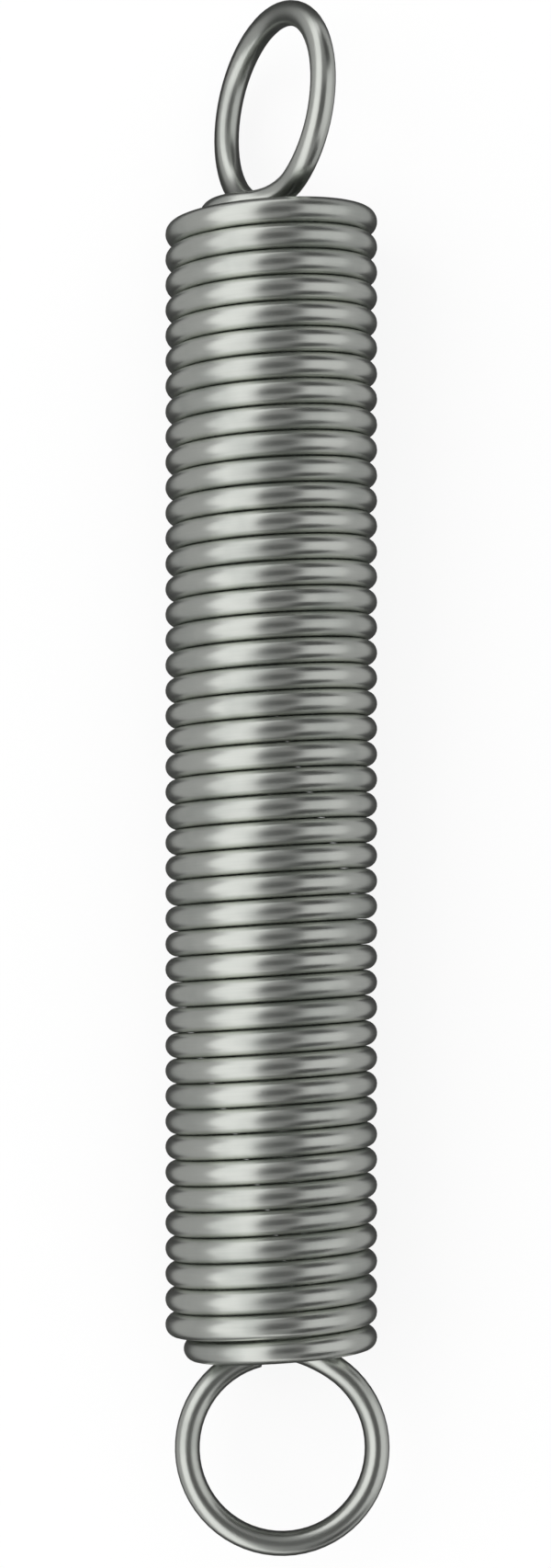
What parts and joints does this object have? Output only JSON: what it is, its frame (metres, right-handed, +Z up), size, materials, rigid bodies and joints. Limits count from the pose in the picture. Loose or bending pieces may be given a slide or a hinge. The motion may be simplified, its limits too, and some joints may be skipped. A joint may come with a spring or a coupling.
{
  "type": "extension spring",
  "caption": "Close-wound extension spring of round steel wire, with a round loop turned up over the middle of each end to hook on to",
  "frame": {"origin": "on the ground plane, under the middle of the coil's axis, halfway along the whole spring; the spring lies on its side", "axes": "+Y runs along the coil's axis towards the loop that is turned edgeways, +Z is up and the loop at -Y lies nearly flat"},
  "size_m": [0.0134, 0.0928, 0.0127],
  "materials": {
    "wire": "drawn bright wire with fine lines along it"
  },
  "bodies": {
    "root": {"spring": "wire"}
  },
  "joints": []
}
